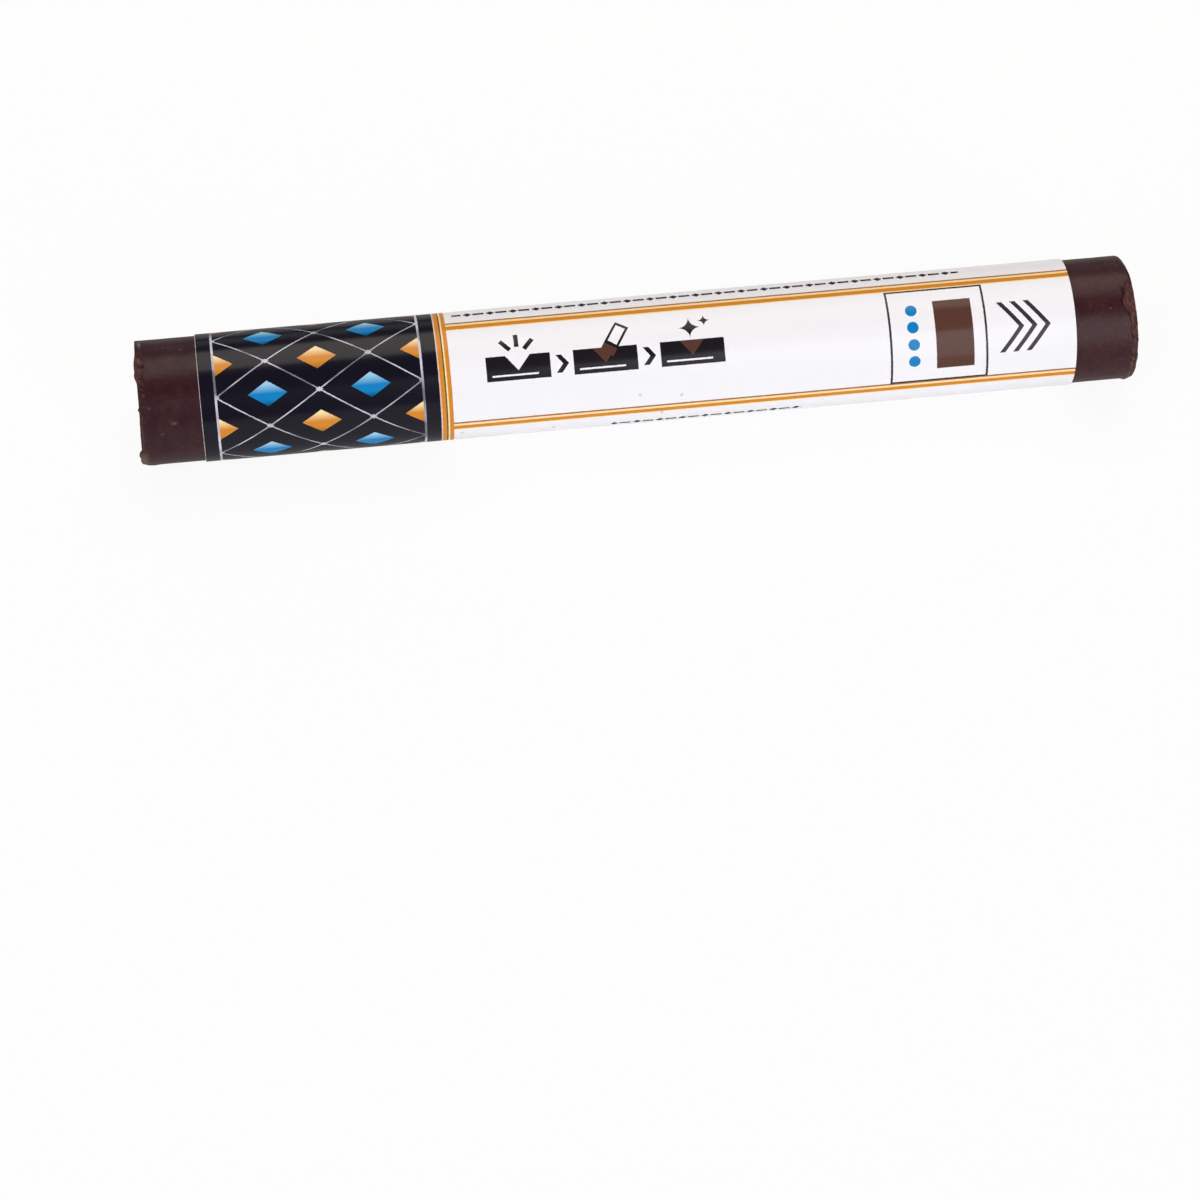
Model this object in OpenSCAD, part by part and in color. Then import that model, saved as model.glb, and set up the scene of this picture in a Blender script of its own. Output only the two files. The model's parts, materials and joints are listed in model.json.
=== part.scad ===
// Furniture repair wax stick: a cut rod of hard wax in a wound paper label.
// The stick lies along X on the plane z = 0, with its dark panel towards -X.
// Angles run round the stick's axis from straight below (0), by the back (90) and the top (180) to the front (270).

/* [Wax stick] */
// Overall length of the wax stick, from the burr's tip to the far cut end
stick_length = 89.1; // [60:0.1:150]
// Diameter of the wax stick
stick_d = 11.1; // [8:0.1:20]

/* [Cut ends] */
// Height of the torn burr on the left-hand rim
burr_h = 0.2; // [0.1:0.05:1]
// Width of the burr at its foot
burr_w = 0.8; // [0.4:0.1:1.5]
// Length of the largest chip along the side of the right-hand rim
chip_length = 0.9; // [0.3:0.1:2]
// Depth of the largest chip across the right-hand end
chip_depth = 0.55; // [0.2:0.05:1]
// Number of chips along the right-hand rim
chip_count = 8; // [3:1:12]

/* [Label] */
// Bare wax between the left-hand end of the stick and the label
bare_left = 5.55; // [2:0.05:15]
// Bare wax between the label and the right-hand end of the stick
bare_right = 5.55; // [2:0.05:15]
// Thickness of the label's paper
paper_t = 0.1; // [0.06:0.01:0.3]
// Thickness of the adhesive coat on the paper's back
adhesive_t = 0.03; // [0.02:0.01:0.1]
// Width by which the label laps over its own first edge
lap_width = 2.6; // [1:0.1:8]
// Width of the strip in which the label climbs over its first edge
climb_width = 1.4; // [0.8:0.1:3]
// Place of the middle of the lap round the stick
lap_place = 62; // [0:1:359]

/* [Print] */
// Length of the dark panel, from the label's left-hand edge
panel_length = 21; // [5:0.5:35]
// Width of the gold band beside the dark panel
band_width = 1.1; // [0.5:0.1:3]

/* [Hidden] */
$fn = 128;

// Radii from the wax outwards, and the step from one turn of the label to the next
stick_r = stick_d / 2;
turn_step = adhesive_t + paper_t;
barrel_r = stick_r + turn_step;
axis_height = barrel_r;

// Stations along the stick
stick_from = -stick_length / 2;
stick_to = stick_length / 2;
left_cut = stick_from + burr_h;
label_from = stick_from + bare_left;
label_to = stick_to - bare_right;
panel_to = label_from + panel_length;
band_to = panel_to + band_width;

// Angles of the label's lap and of the climb up to it, and the steps that draw both
lap_angle = angle_of(lap_width, barrel_r);
climb_angle = angle_of(climb_width, barrel_r);
climb_from = lap_place - lap_angle / 2 - climb_angle;
flap_angle = climb_angle + lap_angle;
flap_steps = 24;

// Each print zone starts a little inside the one before it, so that the sheet is one piece
zone_overlap = 0.01;

// Start and sweep of each torn lip on the left-hand rim, and where a lip's tip and outer side stand
burr_lips = [[166, 46], [266, 22]];
burr_tip_r = stick_r - burr_w / 3;
burr_side_h = burr_h * 2 / 3;

// First and last chip on the right-hand rim, and the smallest chip as a share of the largest
chip_arc = [176, 352];
chip_least = 0.45;
chip_seed = 7;

wax_brown = "#3d2723";
adhesive_cream = "#e4dbc4";
panel_black = "#17151f";
band_gold = "#d98a2b";
paper_white = "#f3f3f6";

// The angle that a width along the arc takes up at a radius
function angle_of(width, radius) = width / radius * 180 / PI;

// A smooth rise from 0 to 1, level after that
function rise(share) =
    let (s = min(1, share))
    s * s * (3 - 2 * s);

// A point of the flap, on the face that starts at a radius
function flap_point(radius, step) =
    let (
        angle = flap_angle * step / flap_steps,
        reach = radius + turn_step * rise(angle / climb_angle)
    )
    reach * [cos(angle), sin(angle)];

// Turns a shape that stands along Z so that it lies along the stick's axis
module along_stick(station) {
    translate([station, 0, axis_height])
        rotate([0, 90, 0])
            children();
}

// One layer of the label: its first turn, and the flap that climbs over the first edge and laps it
module wound_layer(inner_r, thickness, from, to) {
    length = to - from;
    outer_r = inner_r + thickness;
    inner_face = [for (step = [0 : flap_steps]) flap_point(inner_r, step)];
    outer_face = [for (step = [flap_steps : -1 : 0]) flap_point(outer_r, step)];
    along_stick(from)
        rotate([0, 0, climb_from]) {
            rotate_extrude(angle = climb_angle - 360)
                translate([inner_r, 0])
                    square([thickness, length]);
            linear_extrude(length)
                polygon(concat(inner_face, outer_face));
        }
}

// A torn lip that stands on the left-hand rim and thins out towards its tip
module burr_lip(start, sweep) {
    along_stick(left_cut)
        rotate([0, 0, start])
            rotate_extrude(angle = sweep)
                polygon([
                    [stick_r - burr_w, 0],
                    [burr_tip_r, -burr_h],
                    [stick_r, -burr_side_h],
                    [stick_r, 0]
                ]);
}

// A block whose inner face cuts a slanting flake off the right-hand rim
module rim_chip(place, length, depth) {
    slant = atan2(depth, length);
    along_stick(stick_to)
        rotate([0, 0, place])
            translate([stick_r, 0, -length])
                rotate([0, -slant, 0])
                    translate([stick_r, 0, 0])
                        cube(stick_d, center = true);
}

module wax_stick() {
    sizes = rands(chip_least, 1, chip_count, chip_seed);
    chip_step = (chip_arc[1] - chip_arc[0]) / (chip_count - 1);
    color(wax_brown) {
        difference() {
            along_stick(left_cut)
                cylinder(h = stick_to - left_cut, r = stick_r);
            for (chip = [0 : chip_count - 1])
                rim_chip(
                    chip_arc[0] + chip * chip_step,
                    chip_length * sizes[chip],
                    chip_depth * sizes[chip_count - 1 - chip]
                );
        }
        for (lip = burr_lips)
            burr_lip(lip[0], lip[1]);
    }
}

module label_adhesive() {
    color(adhesive_cream)
        wound_layer(stick_r, adhesive_t, label_from, label_to);
}

module label_paper() {
    zones = [
        [panel_black, label_from, panel_to],
        [band_gold, panel_to - zone_overlap, band_to],
        [paper_white, band_to - zone_overlap, label_to]
    ];
    for (zone = zones)
        color(zone[0])
            wound_layer(stick_r + adhesive_t, paper_t, zone[1], zone[2]);
}

wax_stick();
label_adhesive();
label_paper();
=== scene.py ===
"""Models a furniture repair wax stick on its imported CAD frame: hard wax in a wound gloss label."""

import json
import math

import bmesh
import bpy
from bpy.props import FloatProperty, FloatVectorProperty, IntProperty, PointerProperty
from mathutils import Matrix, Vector, noise


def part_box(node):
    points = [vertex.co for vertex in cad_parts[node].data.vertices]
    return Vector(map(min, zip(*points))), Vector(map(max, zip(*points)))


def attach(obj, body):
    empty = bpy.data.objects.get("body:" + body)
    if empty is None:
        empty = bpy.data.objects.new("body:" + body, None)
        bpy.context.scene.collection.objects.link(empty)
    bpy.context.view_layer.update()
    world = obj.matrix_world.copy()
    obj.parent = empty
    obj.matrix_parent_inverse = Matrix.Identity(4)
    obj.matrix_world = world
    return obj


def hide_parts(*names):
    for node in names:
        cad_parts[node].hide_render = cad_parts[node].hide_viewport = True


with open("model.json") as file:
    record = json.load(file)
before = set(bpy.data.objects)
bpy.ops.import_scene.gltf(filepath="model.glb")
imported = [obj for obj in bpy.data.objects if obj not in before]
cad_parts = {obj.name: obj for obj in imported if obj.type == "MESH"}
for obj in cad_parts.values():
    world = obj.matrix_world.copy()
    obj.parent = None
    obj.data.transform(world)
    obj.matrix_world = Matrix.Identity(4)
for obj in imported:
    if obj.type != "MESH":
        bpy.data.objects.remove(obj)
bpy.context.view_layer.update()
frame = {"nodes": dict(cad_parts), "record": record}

bl_info = {
    "name": "Furniture Repair Wax Stick",
    "version": (1, 0, 0),
    "blender": (4, 5, 0),
    "location": "View3D > Sidebar > Wax Stick",
    "description": "A cut stick of hard filler wax in a wound gloss label, on a pale studio floor",
    "category": "Add Mesh",
}

MM = 0.001

# Width of the camera's sensor in millimetres.
SENSOR_WIDTH = 36

# A point this close to a cut end lies on it.
ON_END = 0.01 * MM

# The blade's marks on a cut end: how much they bow, as a rise per square metre, the width of broad and fine
# ones as a share of their length, and how sharply and from what height on their painted sheen and shade show.
BLADE_BEND = 22
BROAD_DRAW = 0.05
FINE_DRAW = 0.08
BLADE_CONTRAST = 2.2
BLADE_LEVEL = 0.25

# Swell that turns a flat chamfer into a quarter round.
ROUND_SWELL = 0.83

# Attributes of the wax that its material reads: how torn, how pale and how deeply cracked it is. The crack
# mark also paints shade into the cracks and grooves, and the pale mark also paints sheen on the blade's
# ridges.
END_MARKS = ("torn", "pale", "crevice")

# The stick lies along X. Angles round it are degrees up from the front, -Y: the top is at 90 and the back
# at 180.
BARREL = next(mount for mount in frame["record"]["mounts"] if mount["name"] == "barrel")
AXIS_Z = BARREL["pos_m"][2]
BARREL_R = BARREL["dims"]["r_mm"] * MM
WAX_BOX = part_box("wax_stick")
LABEL_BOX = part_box("label_paper")
STICK_FROM, STICK_TO = WAX_BOX[0].x, WAX_BOX[1].x
LABEL_FROM, LABEL_TO = LABEL_BOX[0].x, LABEL_BOX[1].x

# Stretches of the rims, as an angle and a half width in degrees: where the blade smeared the left-hand rim,
# where it tore it and where it left a blob, and where the right-hand rim is drawn into a nose or rounded.
SMEAR = (-40, 45)
TORN_STREAK = (84, 27)
BLOB = (-20, 26)
NOSE = (-54, 27)
ROUNDED_BACK = (115, 42)

# Each cut end snapped along a crescent on one side: the angle of its middle, and, as shares of the radius,
# how far from the axis it starts, how wide its slope is and how wide the crack along it.
LEFT_SNAP = 84
RIGHT_SNAP = 12
SNAP_EDGE = 0.52
SNAP_SLOPE = 0.07
SNAP_CRACK = 0.03

# Lengths on the cut faces: the rim that keeps clear of the marks, and the fade beside a chip.
FACE_MARGIN = 0.5 * MM
FACE_FADE = 0.4 * MM

# Lengths at the left-hand rim: how far a lip's tip and its drag reach, where the torn streak lies and how
# wide it is, the roll that the smear pushed up, how far the blob reaches, how high pale specks stand, and
# how deep cracks go.
LIP_TIP = 0.25 * MM
LIP_DRAG = 0.75 * MM
TEAR_PLACE = 0.3 * MM
TEAR_WIDTH = 0.24 * MM
ROLL_HEIGHT = 0.04 * MM
ROLL_PLACE = 0.8 * MM
ROLL_REACH = 0.6 * MM
BLOB_REACH = 0.7 * MM
SPECK_HEIGHT = 0.05 * MM
CRACK_DEPTH = 0.1 * MM

# Shares at the left-hand rim: how much a lip's height changes with its rags, how high its outer side is, how
# deep the streak is where it is least ragged, and at how many widths the streak and the blob have faded.
LIP_UNEVEN = 0.3
LIP_SIDE = 0.7
TEAR_LEAST = 0.25
TEAR_GONE = 1.6
BLOB_GONE = 1.3

# Lengths at the right-hand rim: the rounding of its nose and back, how far its lean reaches, where the nose
# lies and how wide it is, and the depth of a chip's step and of the cracks in chips and in the skin.
SOFT_ROUNDING = 0.4 * MM
LEAN_REACH = 4 * MM
NOSE_PLACE = 0.5 * MM
NOSE_REACH = 0.4 * MM
CHIP_STEP = 0.07 * MM
CHIP_CRACK = 0.06 * MM
SKIN_CRACK = 0.04 * MM

# How much rounding a chip takes away: more than 1 makes it hollow.
CHIP_HOLLOW = 1.1

# Strengths of the marks that the material reads, from 0 to 1. The ridge mark is painted sheen, and the
# groove, snap and skin marks are painted shade.
FACE_TORN = 0.28
SNAP_TORN = 0.5
RIDGE_SHEEN = 0.16
GROOVE_SHADE = 0.35
SNAP_CRACK_SHADE = 0.7
LEFT_FACE_TORN = 0.3
LIP_TORN = 0.5
STREAK_TORN = 0.74
RAGS_TORN = 0.35
BLOB_TORN = 0.6
NOSE_TORN = 0.5
# Painted shade in the cracks of the skin beside the chips.
SKIN_CRACK_SHADE = 0.8

# How the label stands off: how far its lifted end reaches and how much of the lift is even, how high its
# free edge springs and over how many degrees, and the stretch under the stick that is held down.
EDGE_REACH = 0.7 * MM
EDGE_EVEN = 0.6
SPRING_HEIGHT = 0.03 * MM
SPRING_REACH = 4
HELD_DOWN = (-90, 50)

# Torn lips on the left-hand rim: angle, half width in degrees, and height as a share of the tallest.
TORN_LIPS = (
    (82, 18, 0.4),
    (72, 9, 0.5),
    (39.5, 2.0, 0.35),
    (0, 48, 0.27),
    (-13, 13, 1.0),
    (-25, 16, 0.9),
    (205, 24, 0.45),
    (288, 15, 0.4),
)

# Chips along the right-hand rim: angle, half width in degrees, and length and depth as shares of the largest.
RIM_CHIPS = (
    (59, 15, 1.0, 1.0),
    (72, 13, 0.72, 0.85),
    (45, 12, 0.6, 0.85),
    (33, 10, 0.62, 0.75),
    (14, 13, 0.52, 0.8),
    (-6, 11, 0.55, 0.5),
    (-22, 10, 0.6, 0.35),
    (-84, 14, 0.5, 0.6),
    (170, 16, 0.45, 0.5),
    (222, 11, 0.6, 0.7),
)

# Marks in the bare wax: angle and half width in degrees, nearest and furthest distance from the end in
# millimetres, and strength. Each fades out over a share of its length.
MARK_FADE = 0.4
# The crevices are cut into the wax and also painted dark, as painted shade in the cracks.
LEFT_CREVICES = (
    (81, 1.7, 0.1, 0.8, 0.75),
    (68, 1.7, 0.2, 0.55, 0.8),
    (60.5, 3.2, 0.26, 0.66, 1.0),
    (46, 1.6, 0.15, 0.5, 0.6),
    (96, 2.2, 0.1, 0.5, 0.6),
    (214, 2.0, 0.1, 0.8, 0.9),
)
LEFT_PALE = (
    (113, 8, 0.25, 0.62, 0.8),
    (88, 5, 0.2, 0.5, 0.2),
    (52.5, 1.8, 0.34, 0.64, 0.28),
    (40.5, 1.5, 0.7, 1.0, 0.3),
    (24.5, 1.8, 2.55, 3.3, 0.42),
    (14.5, 1.5, 1.65, 1.98, 0.28),
    (103.5, 1.6, 2.3, 2.7, 0.25),
    (98, 1.7, 3.8, 4.25, 0.32),
    (-22, 22, -0.2, 0.62, 0.4),
    (15, 32, 0.08, 0.28, 0.12),
    (282, 14, 0.0, 0.6, 0.4),
)
RIGHT_CREVICES = (
    (69, 9, 0.72, 1.2, 1.0),
    (61, 5, 1.0, 1.4, 0.6),
    (27, 3.5, 0.25, 0.6, 0.9),
    (6, 2.5, 0.2, 0.5, 0.7),
    (57.4, 1.8, 2.05, 2.55, 1.0),
)
RIGHT_PALE = (
    (59, 5, 0.7, 1.1, 0.35),
    (40, 8, 0.15, 0.6, 0.4),
    (22, 7, 0.1, 0.5, 0.25),
    (12, 8, 0.1, 0.5, 0.3),
    (2.5, 2.6, 0.3, 0.6, 0.5),
    (-9, 8, 0.1, 0.5, 0.3),
    (-28, 16, -0.2, 0.7, 0.35),
    (54.6, 1.3, 2.15, 2.5, 0.4),
)

# Each seed moves the noise on by one more step, so that no two kinds look alike.
NOISE_STEP = Vector((1, 0.37, -1))

# Unevenness of shares, angles and widths: amount, size across in millimetres, and the seed of its noise.
LIP_RAGS = (0.5, 0.35, 3)
TEAR_RAGS = (0.16, 0.7, 19)
TEAR_CRACKS = (1.5, 0.45, 17)
CHIP_JAGS = (5, 0.8, 21)
CHIP_FINE_JAGS = (2.5, 0.3, 22)
SNAP_WANDER = (0.1, 1.2, 43)
BLADE_BROAD = (0.65, 0.6, 5)
BLADE_FINE = (0.35, 0.26, 6)
EDGE_WAVES = (0.4, 5, 2)
SPRING_WAVES = (1.0, 9, 6)

# Relief of the wax and the paper: height and size across in millimetres, and the seed of its noise.
RIM_WAVES = (0.035, 0.45, 7)
SKIN_WAVES = (0.012, 0.9, 12)
TORN_CRUMBLE = (0.03, 0.22, 4)
FACE_CRUMBLE = (0.02, 0.3, 9)
CHIP_FACETS = (0.13, 0.5, 31)
CHIP_CRUMBLE = (0.03, 0.18, 33)
SNAP_FACETS = (0.16, 0.75, 41)
PAPER_WAVES = (0.003, 7, 14)

# Crumbs of wax stuck to the label, in millimetres: place along the stick, height on the print, and size.
CRUMBS = (
    (1.7, -5.7, 0.2),
    (24.6, -1.9, 0.12),
    (3.4, -3.6, 0.16),
    (-0.3, -3.2, 0.13),
    (-8.0, -6.8, 0.18),
    (-16.2, -6.2, 0.14),
)


def linear(hex_colour):
    """An sRGB hex colour as the linear colour, with full opacity, that shaders use."""
    shares = [int(hex_colour[place : place + 2], 16) / 255 for place in (1, 3, 5)]
    return [s / 12.92 if s <= 0.04045 else ((s + 0.055) / 1.055) ** 2.4 for s in shares] + [1.0]


def length_property(name, description, millimetres):
    """A length that the user sets, in the scene's units."""
    return FloatProperty(name=name, description=description, default=millimetres * MM, min=0, unit="LENGTH")


def colour_property(name, description, hex_colour):
    """A colour that the user sets, given as sRGB and kept as linear."""
    return FloatVectorProperty(
        name=name, description=description, default=linear(hex_colour), size=4, min=0, max=1, subtype="COLOR"
    )


def level_property(name, description, level):
    """How bright a softbox looks, which the user sets; 1 is white."""
    return FloatProperty(name=name, description=description, default=level, min=0)


class WaxStickWax(bpy.types.PropertyGroup):
    """Sizes and colours of the wax."""

    burr_height: length_property("Burr height", "Height of the burr that the stick's length counts", 0.2)
    lip_height: length_property("Lip height", "Height of the tallest torn lip on the left-hand rim", 0.52)
    lip_width: length_property("Lip width", "Width of a torn lip at its foot", 0.8)
    chip_length: length_property("Chip length", "Length of the largest chip on the right-hand rim", 1.2)
    chip_depth: length_property("Chip depth", "Depth of the largest chip across the right-hand end", 0.36)
    edge_rounding: length_property("Edge rounding", "Rounding of the left-hand rim", 0.05)
    smear_rounding: length_property("Smear rounding", "More rounding where the left-hand rim is smeared", 0.3)
    rim_rounding: length_property("Rim rounding", "Rounding of the right-hand rim between its chips", 0.14)
    tear_depth: length_property("Tear depth", "Depth of the torn streak by the left-hand rim", 0.13)
    nose_height: length_property("Nose height", "Height of the smeared nose under the right-hand rim", 0.14)
    end_lean: length_property("End lean", "Lean of the right-hand cut, forward at the front", 0.15)
    blade_marks: length_property("Blade marks", "Depth of the blade's drag marks across the cut ends", 0.11)
    snap_depth: length_property("Snap depth", "Depth of the crescent where the end of each cut snapped", 0.14)
    steps: IntProperty(name="Steps", description="Faces round the stick", default=320, min=64, max=480)
    wax_brown: colour_property("Wax", "Colour of the pigmented wax", "#2e141a")
    # The paler wax also carries the painted light that lifts the right-hand end.
    wax_light: colour_property("Wax, paler", "Paler clouds in the wax", "#3c1d21")
    torn_red: colour_property("Torn wax", "Colour where the wax is freshly broken", "#64433c")
    # Painted shade: the dark laid into cracks, crevices and grooves where shade falls.
    crevice: colour_property("Crevice", "Dark of the cracks in the torn wax", "#1a0a0d")
    # The pale bloom colour also paints the sheen on the blade's ridges.
    bloom: colour_property("Bloom", "Pale specks of filler and bloom in the wax", "#897b71")


class WaxStickLabel(bpy.types.PropertyGroup):
    """Sizes and colours of the label and its print."""

    paper_t: length_property("Paper", "Thickness of the label's paper", 0.1)
    adhesive_t: length_property("Adhesive", "Thickness of the adhesive coat under the paper", 0.03)
    lap_width: length_property("Lap", "Width by which the label laps over its own first edge", 2.6)
    climb_width: length_property("Climb", "Width in which the label climbs over its first edge", 1.4)
    lap_place: FloatProperty(
        name="Lap place",
        description="Angle of the middle of the lap, up from the front and over the top",
        default=math.radians(208),
        subtype="ANGLE",
    )
    print_place: FloatProperty(
        name="Print place",
        description="Angle of the middle of the print, up from the front",
        default=math.radians(44.6),
        subtype="ANGLE",
    )
    edge_lift: length_property("Edge lift", "Height by which the right-hand edge has lifted", 0.07)
    panel_length: length_property("Panel", "Length of the black panel, with its frieze", 21)
    band_width: length_property("Band", "Width of the gold band beside the panel", 1.1)
    paper_white: colour_property("Paper", "Coated white paper", "#f8f8fe")
    panel_black: colour_property("Panel", "Black ink of the panel", "#13111e")
    key_black: colour_property("Print", "Black ink of the pictograms", "#1c191e")
    shade_ink: colour_property("Shade", "Brown ink of the wax's shade", "#5a3a31")
    line_grey: colour_property("Fine print", "Dark grey of the frame and the fine rows", "#3a3038")
    silver: colour_property("Silver", "Silver grey of the frieze's lines", "#d2d2e0")
    # The darker stretches of the silver are painted reflection.
    silver_dark: colour_property("Silver, dark", "Darker stretches of the silver lines", "#74727e")
    gold: colour_property("Gold", "Orange gold of the rules and the frieze", "#d98a2b")
    cream: colour_property("Cream", "Cream between the gold lines", "#ffe6b0")
    bronze: colour_property("Bronze", "Thin dark lines of the gold rules", "#a86c3a")
    blue: colour_property("Blue", "Blue of the frieze and the shade marks", "#0a83c8")
    blue_light: colour_property("Blue, light", "Upper part of the blue lozenges", "#9fd2f0")
    blue_deep: colour_property("Blue, deep", "Lower part of the blue lozenges", "#06466f")


class WaxStickStage(bpy.types.PropertyGroup):
    """Camera and light of the studio."""

    camera_place: FloatVectorProperty(
        name="Camera",
        description="Place of the camera",
        default=(-0.035153, -0.258126, 0.270534),
        subtype="XYZ",
    )
    camera_turn: FloatVectorProperty(
        name="Camera turn",
        description="Turn of the camera",
        default=(math.radians(41.199), 0, math.radians(-7.057)),
        subtype="EULER",
    )
    lens: FloatProperty(
        name="Lens",
        description=f"Focal length in millimetres, on a sensor {SENSOR_WIDTH} mm wide",
        default=124.12,
    )
    card_level: level_property("Top card", "Brightness of the card over the stick", 3.5)
    card_tone: colour_property("Card tone", "Warm white of the card over the stick", "#fff4e8")
    left_level: level_property("Left light", "Brightness of the left light", 2.2)
    right_level: level_property("Right light", "Brightness of the right light", 3.5)
    back_level: level_property("Back light", "Brightness of the low back light", 0.75)
    floor_white: colour_property("Floor", "Seamless white paper", "#fdfdfd")
    floor_glow: FloatProperty(
        name="Floor glow",
        description="Share of plain white in the floor where it is seen",
        default=0.92,
        min=0,
        max=1,
        subtype="FACTOR",
    )


def polar(point):
    """The place along the stick, the distance from its axis, and the angle up from the front in degrees."""
    rise = point.z - AXIS_Z
    return point.x, math.hypot(point.y, rise), math.degrees(math.atan2(rise, -point.y))


def on_stick(x, radius, angle):
    """The point at a place along the stick, a distance from its axis and an angle up from the front."""
    turn = math.radians(angle)
    return Vector((x, -radius * math.cos(turn), AXIS_Z + radius * math.sin(turn)))


def smooth(share):
    """A smooth rise from 0 to 1, level outside."""
    held = min(1, max(0, share))
    return held * held * (3 - 2 * held)


def bell(off, half_width):
    """1 at the middle, falling smoothly to 0 at the half width on both sides."""
    share = min(1, abs(off) / half_width)
    return (1 - share * share) ** 2


def hump(angle, centre, half_width):
    """1 at an angle round the stick, falling smoothly to 0 at the half width, the short way round."""
    return bell((angle - centre + 180) % 360 - 180, half_width)


def plateau(angle, centre, half_width):
    """Like a hump, but with a broader top."""
    return hump(angle, centre, half_width) ** 0.5


def unevenness(point, waves):
    """Smooth noise at a point, up and down by an amount; its bumps are about a size across."""
    amount, size, seed = waves
    return amount * noise.noise(point / (size * MM) + seed * NOISE_STEP)


def relief(point, waves):
    """Height of one kind of relief at a point of the wax or the paper."""
    return MM * unevenness(point, waves)


def rim_cut(point, end, radius, length, depth, rounding):
    """Lays the rim of a plain cylinder's end onto a slope, and says how far down the slope a point is.

    The slope starts a length before the end and takes a depth off the side. It is round where its rounding
    is above 0, and hollow below that. The share is None for a point off the slope."""
    x, r = polar(point)[:2]
    ahead = abs(end - x)
    inward = radius - r
    share = 0.5 * (1 - ahead / length) if ahead > ON_END else 0.5 + 0.5 * inward / depth
    if not 0 < share < 1:
        return x, r, None
    swell = ROUND_SWELL * rounding * min(length, depth) * share * (1 - share)
    outwards = math.copysign(1, end)
    return end - outwards * (length * (1 - share) - swell), radius - depth * share + swell, share


def marked(angle, depth, marks):
    """How strongly a spot near an end of the stick is marked; each mark fades out at its edges."""
    strongest = 0
    for place, half_width, near, far, strength in marks:
        fade = (far - near) * MARK_FADE * MM
        along = smooth((depth - near * MM) / fade) * smooth((far * MM - depth) / fade)
        strongest = max(strongest, strength * along * hump(angle, place, half_width))
    return strongest


def new_piece(name, bm, materials, node):
    """Makes a mesh a piece that rides on the stick and stands for a CAD node."""
    mesh = bpy.data.meshes.new(name)
    bm.to_mesh(mesh)
    bm.free()
    mesh.shade_smooth()
    piece = bpy.data.objects.new(name, mesh)
    bpy.context.scene.collection.objects.link(piece)
    for material in materials:
        mesh.materials.append(material)
    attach(piece, "root")
    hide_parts(node)
    return piece


def add(tree, kind, feeds=(), **settings):
    """Adds a node with its settings and its feeds, in order or by name, and returns its first open output."""
    node = tree.nodes.new("ShaderNode" + kind)
    for name, value in settings.items():
        setattr(node, name, value)
    sockets = [socket for socket in node.inputs if socket.enabled]
    if isinstance(feeds, dict):
        by_name = {socket.name: socket for socket in sockets}
        pairs = [(by_name[name], feed) for name, feed in feeds.items()]
    else:
        pairs = zip(sockets, feeds)
    for socket, feed in pairs:
        if isinstance(feed, bpy.types.NodeSocket):
            tree.links.new(feed, socket)
        else:
            socket.default_value = feed
    return next((socket for socket in node.outputs if socket.enabled), None)


def new_material(name):
    """A material with an empty node tree."""
    material = bpy.data.materials.new(name)
    material.use_nodes = True
    material.node_tree.nodes.clear()
    return material, material.node_tree


def fold(tree, operation, values):
    """Runs one sum over several values in turn, such as the largest of them."""
    total = values[0]
    for value in values[1:]:
        total = add(tree, "Math", [total, value], operation=operation)
    return total


def layered(tree, ground, layers):
    """Lays colours over a ground in turn; each comes with a mask, which is 1 where the colour covers."""
    for mask, colour in layers:
        ground = add(tree, "Mix", [mask, ground, colour], data_type="RGBA")
    return ground


def within(tree, value, low, high):
    """1 where a value lies between two others."""
    return add(tree, "Math", [value, (low + high) / 2, (high - low) / 2], operation="COMPARE")


def block(tree, across, up, left, right, bottom, top):
    """1 inside a rectangle on the paper."""
    spans = [within(tree, across, left, right), within(tree, up, bottom, top)]
    return add(tree, "Math", spans, operation="MULTIPLY")


def turned(tree, across, up, centre, degrees):
    """Coordinates from a point on the paper, along axes that are turned about it."""
    cosine, sine = math.cos(math.radians(degrees)), math.sin(math.radians(degrees))
    off_across = add(tree, "Math", [across, centre[0]], operation="SUBTRACT")
    off_up = add(tree, "Math", [up, centre[1]], operation="SUBTRACT")
    from_up = add(tree, "Math", [off_up, sine], operation="MULTIPLY")
    from_across = add(tree, "Math", [off_across, -sine], operation="MULTIPLY")
    turned_across = add(tree, "Math", [off_across, cosine, from_up], operation="MULTIPLY_ADD")
    turned_up = add(tree, "Math", [off_up, cosine, from_across], operation="MULTIPLY_ADD")
    return turned_across, turned_up


def stripes(tree, across, start, bands, blend="CONSTANT"):
    """Colours side by side across the paper from a start on; a band is its width in mm and its colour."""
    total = sum(width for width, colour in bands)
    colours = add(tree, "ValToRGB", [add(tree, "MapRange", [across, start, start + total])])
    ramp = colours.node.color_ramp
    ramp.interpolation = blend
    edge = 0
    for place, (width, colour) in enumerate(bands):
        stop = ramp.elements[place] if place < 2 else ramp.elements.new(edge / total)
        stop.position = edge / total
        stop.color = colour
        edge += width
    return colours


def chevron(tree, across, up, tip, half_height, thickness):
    """1 inside an arrowhead line that points along the stick."""
    slant = 0.8
    off = add(tree, "Math", [up, tip[1]], operation="SUBTRACT")
    height = add(tree, "Math", [off], operation="ABSOLUTE")
    slanted = add(tree, "Math", [height, slant, across], operation="MULTIPLY_ADD")
    line = within(tree, slanted, tip[0] - thickness, tip[0] + thickness)
    span = within(tree, off, -half_height, half_height)
    return add(tree, "Math", [line, span], operation="MULTIPLY")


# The print is drawn in millimetres on the flat label, along the stick and up from the middle of the print.


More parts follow.
